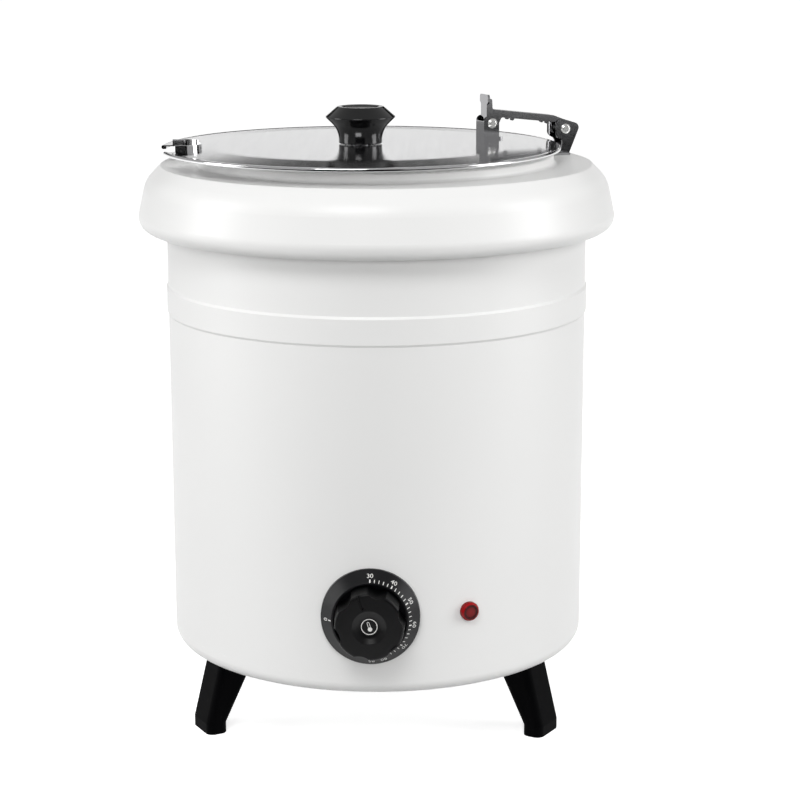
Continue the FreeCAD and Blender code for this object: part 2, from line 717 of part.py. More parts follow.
def makeThermostat():
    height = dim.dial_height
    half = dim.stat_width / 2
    pitch = dim.stat_screw_pitch / 2
    body = addBody("thermostat_body")
    block = addSketch(body, "XZ_Plane", offset=(0, 0, statFace - dim.stat_depth))
    drawProfile(block, [
        (-half, height - half, 3), (half, height - half, 3), (half, height + half, 3), (-half, height + half, 3)
    ])
    pad(body, block, dim.stat_depth)
    bore = addSketch(body, "XZ_Plane", offset=(0, 0, statFace))
    drawCircle(bore, 0, height, dim.spindle_radius + dim.spindle_play)
    pocket(body, bore, 12)
    threads = addSketch(body, "XZ_Plane", offset=(0, 0, statFace))
    drawCircle(threads, pitch, height, dim.stat_screw)
    drawCircle(threads, -pitch, height, dim.stat_screw)
    pocket(body, threads, 8)
    keep("thermostat_body", body)

    # Bridge plate with two legs that reach the inside of the casing.
    channel = addBody("bridgeChannel")
    wide = half + 12
    outline = addSketch(channel, "XY_Plane", offset=(0, 0, height - 20))
    sheetWall = dim.hinge_sheet
    drawProfile(outline, [
        (-wide, -statFace), (wide, -statFace), (wide, -dim.casing_radius), (wide - sheetWall, -dim.casing_radius),
        (wide - sheetWall, -statFace - sheetWall), (sheetWall - wide, -statFace - sheetWall),
        (sheetWall - wide, -dim.casing_radius), (-wide, -dim.casing_radius),
    ])
    pad(channel, outline, 40)
    holes = addSketch(channel, "XZ_Plane")
    drawCircle(holes, 0, height, dim.spindle_radius + 0.6)
    drawCircle(holes, pitch, height, dim.stat_screw + dim.seat_gap)
    drawCircle(holes, -pitch, height, dim.stat_screw + dim.seat_gap)
    pocket(channel, holes, symmetric=True)
    inside = doc.addObject("Part::Cylinder", "casingInside")
    bind(inside, "Radius", casingInner)
    bind(inside, "Height", casingTop)
    bridge = doc.addObject("Part::Common", "thermostat_bridge")
    bridge.Base = channel
    bridge.Tool = inside
    keep("thermostat_bridge", bridge)

    screws = addBody("thermostat_screws")
    turned = []
    for side in (1, -1):
        turned.append(revolve(screws, [
            (0, -bezelFloor - 1.3),
            (3.2, -bezelFloor - 1.3, 0.6),
            (3.2, -bezelFloor),
            (dim.stat_screw, -bezelFloor),
            (dim.stat_screw, 8 - statFace),
            (0, 8 - statFace),
        ], "XY_Plane", (pitch * side, 0, height)))
    keep("thermostat_screws", screws)

    bulbHeight = wellFloor - 3.1
    bulbLine = dim.clamp_radius + 7
    bulb = doc.addObject("Part::Cylinder", "sensor_bulb")
    bulb.Placement = Placement(Vector(0, 0, 0), Rotation(Vector(0, 1, 0), 90))
    bind(bulb, "Radius", sized(3))
    bind(bulb, "Height", sized(44))
    bind(bulb, "Placement.Base.x", sized(-22))
    bind(bulb, "Placement.Base.y", -bulbLine)
    bind(bulb, "Placement.Base.z", bulbHeight)
    keep("sensor_bulb", bulb)
    stops = [
        (half, -statFace + 12, height + 4),
        (half + 14, -statFace + 12, height + 4),
        (half + 14, -bulbLine, bulbHeight),
        (sized(22), -bulbLine, bulbHeight),
    ]
    keep("capillary_tube", sweptTube("capillary_tube", [[sized(v).value for v in s] for s in stops], 0.8, 5))


def sweptTube(label, stops, radius, bend):
    """Round tube along straight runs with bends; no sketch plane holds its path."""
    points = [Vector(*stop) for stop in stops]
    edges = []
    start = points[0]
    for i in range(1, len(points) - 1):
        entry, leave, centre = roundedCorner(points[i - 1], points[i], points[i + 1], bend)
        middle = centre + (points[i] - centre).normalize() * bend
        edges.append(Part.makeLine(start, entry))
        edges.append(Part.Arc(entry, middle, leave).toShape())
        start = leave
    edges.append(Part.makeLine(start, points[-1]))
    path = Part.Wire(edges)
    circle = Part.Wire(Part.makeCircle(radius, points[0], points[1] - points[0]))
    tube = doc.addObject("Part::Feature", label)
    tube.Shape = path.makePipeShell([circle], True, False)
    return tube


def makeDial():
    height = dim.dial_height
    pitch = dim.stat_screw_pitch / 2
    blank = addBody("bezelBlank")
    revolve(blank, [
        (dim.spindle_radius + 0.8, -bezelFloor),
        (dim.bezel_recess, -bezelFloor),
        (dim.bezel_recess, -bezelFace),
        (dim.bezel_recess + 1, -bezelFace, 0.4),
        (dim.bezel_radius, -dim.casing_radius - dim.bezel_edge, 0.7),
        (dim.bezel_radius, 14 - dim.casing_radius),
        (dim.spindle_radius + 0.8, 14 - dim.casing_radius),
    ], "XY_Plane", (0, 0, height))
    holes = addSketch(blank, "XZ_Plane")
    drawCircle(holes, pitch, height, dim.stat_screw + dim.seat_gap)
    drawCircle(holes, -pitch, height, dim.stat_screw + dim.seat_gap)
    pocket(blank, holes, symmetric=True)
    outside = doc.addObject("Part::Cylinder", "casingOutside")
    bind(outside, "Radius", dim.casing_radius)
    bind(outside, "Height", casingTop)
    bezel = doc.addObject("Part::Cut", "dial_bezel")
    bezel.Base = blank
    bezel.Tool = outside
    keep("dial_bezel", bezel)

    knob = addBody("control_knob")
    boreEnd = knobFront - 6
    revolve(knob, [
        (dim.spindle_radius, -knobBack),
        (dim.knob_base, -knobBack, 0.6),
        (dim.knob_face, -knobFront, 1.6),
        (dim.knob_dish, -knobFront, 0.5),
        (dim.knob_dish * 0.62, 2.4 - knobFront, 5),
        (0, 2.4 - knobFront),
        (0, -boreEnd),
        (dim.spindle_radius, -boreEnd),
    ], "XY_Plane", (0, 0, height))
    flute = addSketch(knob, "XZ_Plane", offset=(0, height, 0), turn=((0, 0, 1), -dim.flute_angle))
    drawCircle(flute, 0, dim.knob_base + dim.flute_radius - dim.flute_depth - 0.9, dim.flute_radius)
    polar(knob, pocket(knob, flute, symmetric=True), 6, flute)
    groove = addSketch(knob, "XZ_Plane", offset=(0, height, knobFront), turn=((0, 0, 1), dim.pointer_angle))
    drawProfile(groove, [
        (sized(-0.9), dim.knob_dish + 1.4, 0.85), (sized(0.9), dim.knob_dish + 1.4, 0.85),
        (sized(0.9), dim.knob_face + 3), (sized(-0.9), dim.knob_face + 3),
    ])
    pocket(knob, groove, 0.9)
    keep("control_knob", knob)

    spindle = addBody("thermostat_spindle")
    revolve(spindle, [
        (0, 11 - statFace),
        (dim.spindle_radius, 11 - statFace),
        (dim.spindle_radius, -boreEnd),
        (0, -boreEnd),
    ], "XY_Plane", (0, 0, height))
    keep("thermostat_spindle", spindle)


def makeLamp():
    front = dim.casing_radius + dim.lamp_length
    back = dim.casing_radius + dim.seat_gap
    place = ("XY_Plane", (0, 0, dim.lamp_height))
    lens = addBody("lamp_lens")
    revolve(lens, [
        (0, -back),
        (dim.lamp_radius, -back),
        (dim.lamp_radius, 1.6 - front, 0.7),
        (dim.lamp_radius - 1, -front, 0.6),
        (dim.lamp_radius - 2.4, -front),
        (dim.lamp_radius - 2.7, 0.4 - front),
        (0, 0.4 - front),
    ], *place)
    turnAboutZ(lens, dim.lamp_azimuth)
    keep("lamp_lens", lens)
    holder = addBody("lamp_holder")
    revolve(holder, [
        (0, -back),
        (dim.lamp_neck, -back),
        (dim.lamp_neck, 20 - back, 0.8),
        (2, 22 - back),
        (2, 30 - back),
        (0, 30 - back),
    ], *place)
    turnAboutZ(holder, dim.lamp_azimuth)
    keep("lamp_holder", holder)
    ringNut("lamp_nut", dim.lamp_neck, dim.lamp_height, -1, 14, dim.lamp_azimuth)


def ringNut(label, bore, height, side, flats, azimuth):
    """Nut inside the casing wall, on a neck that looks out along -Y (side -1) or +Y (side 1)."""
    body = addBody(label)
    seat = casingInner - 0.4
    depth = seat - 3.5 if side < 0 else -seat
    sketch = addSketch(body, "XZ_Plane", offset=(0, height, depth))
    drawProfile(sketch, hexagon(sized(0), sized(0), sized(flats)))
    drawCircle(sketch, 0, 0, bore)
    pad(body, sketch, 3.5)
    turnAboutZ(body, azimuth)
    keep(label, body)


def makeInlet():
    outer = dim.casing_radius + dim.seat_gap
    gland = addBody("cord_gland")
    revolve(gland, [
        (dim.gland_mouth, outer - 14),
        (dim.gland_neck, outer - 14, 0.8),
        (dim.gland_neck, outer),
        (dim.gland_radius, outer),
        (dim.gland_radius, outer + 3.5, 1),
        (dim.gland_neck - 0.4, outer + 4.5),
        (dim.cord_radius + 1.8, outer + 12, 0.8),
        (dim.cord_radius, outer + 12),
        (dim.cord_radius, outer + 3.4),
        (dim.gland_mouth, outer + 2),
    ], "XY_Plane", (0, 0, dim.gland_height))
    keep("cord_gland", gland)
    ringNut("gland_nut", dim.gland_neck, dim.gland_height, 1, 20, sized(0))
    floor = dim.foot_height + dim.casing_wall
    block = addBody("terminal_block")
    outline = addSketch(block, "XY_Plane", offset=(0, 0, floor))
    drawProfile(outline, [(-18, 86, 1.5), (18, 86, 1.5), (18, 103, 1.5), (-18, 103, 1.5)])
    pad(block, outline, 17)
    ways = addSketch(block, "XZ_Plane")
    for x in (-11, 0, 11):
        drawCircle(ways, x, floor + 7, 2.2)
    pocket(block, ways, symmetric=True)
    screws = addSketch(block, "XY_Plane", offset=(0, 0, floor + 17))
    for x in (-11, 0, 11):
        drawCircle(screws, x, 90, 2)
        drawCircle(screws, x, 99, 2)
    pocket(block, screws, 8)
    keep("terminal_block", block)


def makeLid():
    body = addBody("lid")
    edge, wall = lidRadius, dim.lid_wall
    hemIn = edge - dim.hem_width
    fall = lidTop - dim.lid_fall
    hemTop = fall + 0.3
    revolve(body, [
        (dim.grip_screw, lidTop),
        (dim.lid_flat, lidTop, 150),
        (hemIn - 0.8, fall, 0.9),
        (edge, hemTop, 1.2),
        (edge, hemTop - dim.hem_height, 1.2),
        (hemIn, hemTop - dim.hem_height, 0.6),
        (hemIn, fall - wall),
        (hemIn - 1, fall - wall),
        (dim.lid_flat, lidTop - wall),
        (dim.grip_screw, lidTop - wall),
    ])
    half = dim.notch_width / 2
    inner = edge - dim.notch_depth
    wrap = dim.notch_wall
    around = ((0, 0, 1), dim.notch_turn)
    flange = addSketch(body, "XY_Plane", offset=(0, 0, fall - wall), turn=around)
    drawProfile(flange, [
        (dim.notch_lip - edge, -half - wrap, dim.notch_mouth), (wrap - inner, -half - wrap, dim.notch_round + wrap),
        (wrap - inner, half + wrap, dim.notch_round + wrap), (dim.notch_lip - edge, half + wrap, dim.notch_mouth),
    ])
    pad(body, flange, dim.notch_rise + dim.lid_fall + wall)
    notch = addSketch(body, "XY_Plane", turn=around)
    drawProfile(notch, [
        (-edge - 20, -half), (-inner, -half, dim.notch_round), (-inner, half, dim.notch_round), (-edge - 20, half)
    ])
    pocket(body, notch, symmetric=True)
    across = dim.rivet_pitch / 2
    spot = lidPivot[0] + dim.rivet_shift + dim.lid_offset
    uprightHoles(body, [(spot + across, sized(0)), (spot - across, sized(0))], dim.rivet_radius)
    turnAboutZ(body, dim.hinge_azimuth, lidCentre)
    keep("lid", body)


def makeLidKnob():
    spacer = addBody("lid_knob_spacer")
    revolve(spacer, [
        (dim.grip_screw, lidTop), (dim.grip_screw + 4, lidTop), (dim.grip_screw + 4, gripBase), (dim.grip_screw, gripBase)
    ])
    turnAboutZ(spacer, dim.hinge_azimuth, lidCentre)
    keep("lid_knob_spacer", spacer)
    knob = addBody("lid_knob")
    top = gripBase + dim.grip_height
    bore = gripBase + dim.grip_bore
    revolve(knob, [
        (dim.grip_screw, gripBase),
        (dim.grip_neck, gripBase, 0.8),
        (dim.grip_neck, gripBase + dim.grip_belly * 0.5, 15),
        (dim.grip_radius, gripBase + dim.grip_belly, 0.5),
        (dim.grip_top, top, 1.4),
        (dim.grip_top - 2.6, top, 0.8),
        (dim.grip_top - 5, top - 1.1, 4),
        (0, top - 1.3),
        (0, bore),
        (dim.grip_screw, bore),
    ])
    turnAboutZ(knob, dim.hinge_azimuth, lidCentre)
    keep("lid_knob", knob)
    screw = addBody("lid_knob_screw")
    under = lidTop - dim.lid_wall
    revolve(screw, [
        (0, under - 2.6),
        (dim.grip_screw + 2, under - 2.6, 0.9),
        (dim.grip_screw + 2, under),
        (dim.grip_screw, under),
        (dim.grip_screw, bore),
        (0, bore),
    ])
    turnAboutZ(screw, dim.hinge_azimuth, lidCentre)
    keep("lid_knob_screw", screw)


def makePin(label, pivot):
    body = addBody(label)
    half = dim.hinge_width / 2
    head = half + dim.pin_head_height
    revolve(body, [
        (0, -head),
        (dim.pin_head - 1.2, -head, 0.6),
        (dim.pin_head, -half - 0.4, 0.3),
        (dim.pin_head, -half),
        (dim.pin_radius, -half),
        (dim.pin_radius, half),
        (dim.pin_head, half),
        (dim.pin_head, half + 0.4, 0.3),
        (dim.pin_head - 1.2, head, 0.6),
        (0, head),
    ], "XY_Plane", (pivot[0], 0, pivot[1]))
    turnAboutZ(body, dim.hinge_azimuth)
    keep(label, body)


def bracketHole(body, pivot, radius):
    sketch = addSketch(body, "XZ_Plane")
    drawCircle(sketch, pivot[0], pivot[1], radius)
    pocket(body, sketch, symmetric=True)


def makeHingeBase():
    """Leaning channel on a foot flange; its cheeks hold the base pivot."""
    body = addBody("hinge_base")
    x, z = basePivot
    thin = dim.hinge_sheet
    clear = dim.hinge_width - thin * 2
    side = addSketch(body, "XZ_Plane")
    drawProfile(side, [
        (x - 4.1, rimTop),
        (x + 2.5, rimTop),
        (x + 11.1, z + 2.7, 3.6),
        (x - 7.6, z + 8.5, 5.2),
        (x - 7.6, z - 5.1, 4.6),
        (x - 1.8, z - 8.0, 3),
    ])
    pad(body, side, dim.hinge_width, symmetric=True)
    hollow = addSketch(body, "XZ_Plane")
    drawProfile(hollow, [
        (x - 20, rimTop + thin),
        (x + 1.4, rimTop + thin),
        (x + 8.9, z + 2.0),
        (x + 8.9, z + 20),
        (x - 20, z + 20),
    ])
    pocket(body, hollow, clear, symmetric=True)
    flange = addSketch(body, "XY_Plane", offset=(0, 0, rimTop))
    half = dim.hinge_foot_width / 2
    inner = hingeScrewRadius() - 5
    drawProfile(flange, [
        (inner, -half, 3), (x + 2.4, -half), (x + 2.4, half), (inner, half, 3)
    ])
    pad(body, flange, thin)
    bracketHole(body, basePivot, dim.pin_radius)
    across = dim.hinge_screw_pitch / 2
    spot = hingeScrewRadius()
    uprightHoles(body, [(spot, across), (spot, -across)], dim.hinge_screw + dim.seat_gap)
    turnAboutZ(body, dim.hinge_azimuth)
    keep("hinge_base", body)

    screws = addBody("hinge_base_screws")
    nuts = addBody("hinge_base_nuts")
    seat = rimTop + thin
    under = rimTop - dim.rim_wall
    for turn in (1, -1):
        revolve(screws, [
            (0, under - 5),
            (dim.hinge_screw, under - 5, 0.5),
            (dim.hinge_screw, seat),
            (dim.hinge_screw + 1.6, seat),
            (dim.hinge_screw + 1.6, seat + 2, 1),
            (0, seat + 2),
        ], offset=(spot, 0, across * -turn))
        sketch = addSketch(nuts, "XY_Plane", offset=(spot, across * turn, under - 3))
        drawProfile(sketch, hexagon(sized(0), sized(0), sized(7)))
        drawCircle(sketch, 0, 0, dim.hinge_screw)
        pad(nuts, sketch, 3)
    for item in (screws, nuts):
        turnAboutZ(item, dim.hinge_azimuth)
    keep("hinge_base_screws", screws)
    keep("hinge_base_nuts", nuts)


def makeHingeArm():
    """Inverted channel from pivot to pivot with an upright tab at the lid end."""
    body = addBody("hinge_arm")
    left, low = lidPivot
    right, high = basePivot
    thin = dim.hinge_sheet
    heel = left - 3.4
    topLeft = low + 9.2
    topRight = high + 9.2
    side = addSketch(body, "XZ_Plane")
    drawProfile(side, [
        (heel, low + 16.4, 0.6),
        (left + 0.6, low + 16.4, 1.4),
        (left + 0.9, topLeft, 1.6),
        (right - 8, topRight, 4),
        (right + 4.8, high + 4.4, 4),
        (right + 4.8, high - 4.8, 4.4),
        (right - 4.8, high - 4.8, 4.4),
        (right - 6.2, high + 4.4, 2),
        (left + 7.5, low + 3.6, 1.6),
        (left + 4, low - 4, 3.6),
        (left - 4, low - 4, 3.2),
        (left - 4, low + 0.3),
        (heel, low + 1.5),
    ])
    pad(body, side, armWidth, symmetric=True)
    nibs = addSketch(body, "XZ_Plane")
    for along in (15.5, 41):
        drawCircle(nibs, left + along, low + 3.6 - (low - high - 0.8) * ((along - 7.5) / 40.5), 1.5)
    pad(body, nibs, armWidth, symmetric=True)
    slope = (topLeft - topRight) / (right - left - 8.9)
    drop = thin * 1.01
    inner = armWidth - thin * 2
    below = addSketch(body, "XZ_Plane")
    drawProfile(below, [
        (heel + thin, low - 12),
        (right + 12, low - 12),
        (right + 12, high + 0.2),
        (right - 8, topRight - drop),
        (heel + thin, topLeft - drop + slope * 2.8),
    ])
    pocket(body, below, inner, symmetric=True)
    above = addSketch(body, "XZ_Plane")
    drawProfile(above, [
        (heel + thin, topLeft + slope * 2.8),
        (left + 6, topLeft - slope * 5.1),
        (left + 6, low + 30),
        (heel + thin, low + 30),
    ])
    pocket(body, above, inner, symmetric=True)
    tab = addSketch(body, "YZ_Plane", offset=(0, 0, heel))
    half = dim.hinge_width / 2
    drawProfile(tab, [
        (-half + 2.6, low + 12.0), (half - 2.6, low + 12.0), (half, low + 14.2), (half, low + 19.1, 1.6),
        (-half, low + 19.1, 1.6), (-half, low + 14.2),
    ])
    pad(body, tab, thin)
    for pivot in (lidPivot, basePivot):
        bracketHole(body, pivot, dim.pin_radius + dim.pin_play)
    turnAboutZ(body, dim.hinge_azimuth)
    keep("hinge_arm", body)


def makeLidBracket():
    body = addBody("lid_bracket")
    x, z = lidPivot
    thin = dim.hinge_sheet
    side = addSketch(body, "XZ_Plane")
    drawProfile(side, [
        (x - 6, lidTop), (x + 5, lidTop), (x + 5, z + 4.8, 4.4), (x - 6, z + 4.8, 3.6)
    ])
    pad(body, side, dim.hinge_width, symmetric=True)
    hollow = addSketch(body, "XZ_Plane")
    drawProfile(hollow, [
        (x - 6 + thin, lidTop + thin), (x + 20, lidTop + thin), (x + 20, z + 20), (x - 20, z + 20),
        (x - 20, z + 1.5), (x - 6 + thin, z + 1.5),
    ])
    pocket(body, hollow, dim.hinge_width - thin * 2, symmetric=True)
    foot = addSketch(body, "XY_Plane", offset=(0, 0, lidTop))
    half = dim.hinge_width / 2
    drawProfile(foot, [
        (x - 6, -half), (x + 8, -half, 2), (x + 8, half, 2), (x - 6, half)
    ])
    pad(body, foot, thin)
    bracketHole(body, lidPivot, dim.pin_radius)
    across = dim.rivet_pitch / 2
    spot = x + dim.rivet_shift
    uprightHoles(body, [(spot + across, sized(0)), (spot - across, sized(0))], dim.rivet_radius)
    turnAboutZ(body, dim.hinge_azimuth)
    keep("lid_bracket", body)

    rivets = addBody("lid_bracket_rivets")
    seat = lidTop + thin
    under = lidTop - dim.lid_wall
    for turn in (1, -1):
        revolve(rivets, [
            (0, under - 1),
            (dim.rivet_radius + 1.1, under - 1, 0.5),
            (dim.rivet_radius + 1.1, under),
            (dim.rivet_radius, under),
            (dim.rivet_radius, seat),
            (dim.rivet_radius + 1.1, seat),
            (dim.rivet_radius + 1.1, seat + 1.2, 0.9),
            (0, seat + 1.2),
        ], offset=(spot + across * turn, 0, 0))
    turnAboutZ(rivets, dim.hinge_azimuth)
    keep("lid_bracket_rivets", rivets)


makeCasing()
makeBasePan()
makeFoot("foot_right", dim.foot_azimuth - 90)
makeFoot("foot_left", -dim.foot_azimuth - 90)
makeFoot("foot_rear", sized(90))
makeFootFasteners()
makeRim()
makeWell()
makePot()
makeHeating()
makeThermostat()
makeDial()
makeLamp()
makeInlet()
makeLid()
makeLidKnob()
makeHingeBase()
makeHingeArm()
makeLidBracket()
makePin("base_pivot_pin", basePivot)
makePin("lid_pivot_pin", lidPivot)
doc.recompute()

broken = []
for item in doc.Objects:
    if "Invalid" in item.State or "Error" in item.State:
        broken.append(f"{item.Name} ({item.Label}): {item.State}")
for label, item in nodes:
    shape = item.Shape
    if shape.isNull() or not shape.isValid() or not shape.Solids:
        broken.append(f"{label}: no valid solid")
if broken:
    raise RuntimeError("; ".join(broken))
for label, item in nodes:
    item.Shape.exportStep(f"parts/{label}.step")
    box = item.Shape.BoundBox
    print(
        f"{label:22s} solids {len(item.Shape.Solids)}  volume {item.Shape.Volume / 1000:9.2f} cm3  "
        f"x {box.XMin:7.1f} {box.XMax:7.1f}  y {box.YMin:7.1f} {box.YMax:7.1f}  z {box.ZMin:6.1f} {box.ZMax:6.1f}"
    )
print(len(nodes), "sub-parts")
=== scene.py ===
import bpy, bmesh, math
from mathutils import Matrix, Vector


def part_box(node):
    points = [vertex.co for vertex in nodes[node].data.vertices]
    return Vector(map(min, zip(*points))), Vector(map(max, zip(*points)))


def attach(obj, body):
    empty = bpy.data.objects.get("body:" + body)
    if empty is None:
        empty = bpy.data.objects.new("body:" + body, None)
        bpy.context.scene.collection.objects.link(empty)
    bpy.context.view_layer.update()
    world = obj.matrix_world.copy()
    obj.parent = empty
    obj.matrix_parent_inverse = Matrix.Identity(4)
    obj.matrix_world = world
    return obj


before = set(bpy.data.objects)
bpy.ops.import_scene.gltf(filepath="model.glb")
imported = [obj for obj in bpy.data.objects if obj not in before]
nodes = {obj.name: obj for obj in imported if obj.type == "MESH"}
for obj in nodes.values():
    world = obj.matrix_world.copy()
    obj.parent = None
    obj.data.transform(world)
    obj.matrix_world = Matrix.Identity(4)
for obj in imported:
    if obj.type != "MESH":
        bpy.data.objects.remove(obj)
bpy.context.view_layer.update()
scene = bpy.context.scene
mm = 0.001
print("loaded", len(nodes), "nodes")


def linearColour(hexCode):
    parts = [int(hexCode[i:i + 2], 16) / 255 for i in (1, 3, 5)]
    return tuple(p / 12.92 if p <= 0.04045 else ((p + 0.055) / 1.055) ** 2.4 for p in parts) + (1.0,)


def addNode(tree, kind, settings=None, links=None):
    node = tree.nodes.new(kind)
    for name, value in (settings or {}).items():
        if name in node.inputs:
            node.inputs[name].default_value = value
        else:
            setattr(node, name, value)
    for name, source in (links or {}).items():
        tree.links.new(source, node.inputs[name])
    return node


def newMaterial(name, **sockets):
    material = bpy.data.materials.new(name)
    material.use_nodes = True
    shader = material.node_tree.nodes["Principled BSDF"]
    for socket, value in sockets.items():
        shader.inputs[socket.replace("_", " ")].default_value = value
    return material, material.node_tree, shader


def perMetre(sizeMm):
    return 1000.0 / sizeMm  # texture scale for a feature of this size


# Powder-coated steel, sprayed and baked: satin white with a fine orange peel that softens reflections.
powderCoat = {"cloudMm": 140, "peelMm": 1.6, "peelStrength": 0.06, "peelDepth": 0.3 * mm}


def makePowderCoat(name, colour, shade, roughness):
    material, tree, shader = newMaterial(name, Roughness=roughness, IOR=1.5)
    place = addNode(tree, "ShaderNodeTexCoord").outputs["Object"]
    cloud = addNode(tree, "ShaderNodeTexNoise", {
        "Scale": perMetre(powderCoat["cloudMm"]), "Detail": 2.0,
    }, {"Vector": place})
    tone = addNode(tree, "ShaderNodeValToRGB", None, {"Fac": cloud.outputs["Fac"]})
    tone.color_ramp.elements[0].color = linearColour(shade)
    tone.color_ramp.elements[1].color = linearColour(colour)
    peel = addNode(tree, "ShaderNodeTexNoise", {
        "Scale": perMetre(powderCoat["peelMm"]), "Detail": 1.5,
    }, {"Vector": place})
    bump = addNode(tree, "ShaderNodeBump", {
        "Strength": powderCoat["peelStrength"], "Distance": powderCoat["peelDepth"],
    }, {"Height": peel.outputs["Fac"]})
    tree.links.new(tone.outputs["Color"], shader.inputs["Base Color"])
    tree.links.new(bump.outputs["Normal"], shader.inputs["Normal"])
    return material


# Stainless sheet, rolled and buffed: mirror-like but slightly hazy, with faint polishing streaks.
# The streaks are drawn coarser than real ones, so that they show.
buffing = {"stretch": (1.0, 0.05, 1.0), "streakStrength": 0.02, "streakDepth": 0.1 * mm}


def makeStainless(name, colour, smooth, hazy, streakMm):
    material, tree, shader = newMaterial(name, Metallic=1.0)
    shader.inputs["Base Color"].default_value = linearColour(colour)
    place = addNode(tree, "ShaderNodeTexCoord").outputs["Object"]
    stretch = addNode(tree, "ShaderNodeMapping", {"Scale": buffing["stretch"]}, {"Vector": place})
    streak = addNode(tree, "ShaderNodeTexNoise", {
        "Scale": perMetre(streakMm), "Detail": 4.0,
    }, {"Vector": stretch.outputs["Vector"]})
    haze = addNode(tree, "ShaderNodeMapRange", {
        "To Min": smooth, "To Max": hazy,
    }, {"Value": streak.outputs["Fac"]})
    bump = addNode(tree, "ShaderNodeBump", {
        "Strength": buffing["streakStrength"], "Distance": buffing["streakDepth"],
    }, {"Height": streak.outputs["Fac"]})
    tree.links.new(haze.outputs["Result"], shader.inputs["Roughness"])
    tree.links.new(bump.outputs["Normal"], shader.inputs["Normal"])
    return material


# Moulded plastics: bakelite is glassy, dial and feet carry a fine spark-eroded grain.
# The grain is drawn coarser than the real one, so that it shows.
moulding = {"grainDepth": 0.2 * mm, "coatRoughness": 0.06, "smoother": 0.05, "rougher": 0.07}


def makeMoulded(name, colour, roughness, grainMm, grainStrength, coat=0.0, shine=0.5):
    material, tree, shader = newMaterial(name, IOR=1.5)
    shader.inputs["Base Color"].default_value = linearColour(colour)
    shader.inputs["Specular IOR Level"].default_value = shine
    shader.inputs["Coat Weight"].default_value = coat
    shader.inputs["Coat Roughness"].default_value = moulding["coatRoughness"]
    place = addNode(tree, "ShaderNodeTexCoord").outputs["Object"]
    grain = addNode(tree, "ShaderNodeTexNoise", {
        "Scale": perMetre(grainMm), "Detail": 3.0,
    }, {"Vector": place})
    bump = addNode(tree, "ShaderNodeBump", {
        "Strength": grainStrength, "Distance": moulding["grainDepth"],
    }, {"Height": grain.outputs["Fac"]})
    wear = addNode(tree, "ShaderNodeMapRange", {
        "To Min": roughness - moulding["smoother"], "To Max": roughness + moulding["rougher"],
    }, {"Value": grain.outputs["Fac"]})
    tree.links.new(wear.outputs["Result"], shader.inputs["Roughness"])
    tree.links.new(bump.outputs["Normal"], shader.inputs["Normal"])
    return material


# Dyed acrylic, moulded: deep red with a clear skin, a painted shade ring at the inner step and a painted
# highlight ring near the edge.
# Tones stand at shares of the lens radius, from its middle outwards.
# Stops at 0.62 and 0.74 are painted shade, the stop at 0.88 is a painted highlight; the other stops are
# the red of the dye.
lensTonesAndPaintedLight = [
    (0.0, "#7E1216"), (0.45, "#6A0C10"), (0.62, "#3A0507"),
    (0.74, "#3A0507"), (0.88, "#A8141A"), (1.0, "#7A0A0E"),
]


def makeRedAcrylic():
    material, tree, shader = newMaterial("redAcrylicPaintedShadeAndHighlight", Roughness=0.12, IOR=1.49)
    shader.inputs["Specular IOR Level"].default_value = 0.15
    low, high = (Vector(corner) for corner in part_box("lamp_lens"))
    middle = (low + high) / 2
    axis = Vector((middle.x, middle.y, 0)).normalized()  # the lens looks straight out from the casing
    place = addNode(tree, "ShaderNodeTexCoord").outputs["Object"]
    offset = addNode(tree, "ShaderNodeVectorMath", {"operation": "SUBTRACT"}, {0: place})
    offset.inputs[1].default_value = middle
    cross = addNode(tree, "ShaderNodeVectorMath", {
        "operation": "CROSS_PRODUCT",
    }, {0: offset.outputs["Vector"]})
    cross.inputs[1].default_value = axis
    away = addNode(tree, "ShaderNodeVectorMath", {"operation": "LENGTH"}, {0: cross.outputs["Vector"]})
    lensRadius = (high.z - low.z) / 2
    reach = addNode(tree, "ShaderNodeMapRange", {"From Max": lensRadius}, {"Value": away.outputs["Value"]})
    # The ramp paints the shade ring and the highlight ring into the lens colour.
    tone = addNode(tree, "ShaderNodeValToRGB", None, {"Fac": reach.outputs["Result"]})
    ramp = tone.color_ramp.elements
    while len(ramp) < len(lensTonesAndPaintedLight):
        ramp.new(0.5)
    for element, (position, colour) in zip(ramp, lensTonesAndPaintedLight):
        element.position = position
        element.color = linearColour(colour)
    tree.links.new(tone.outputs["Color"], shader.inputs["Base Color"])
    return material


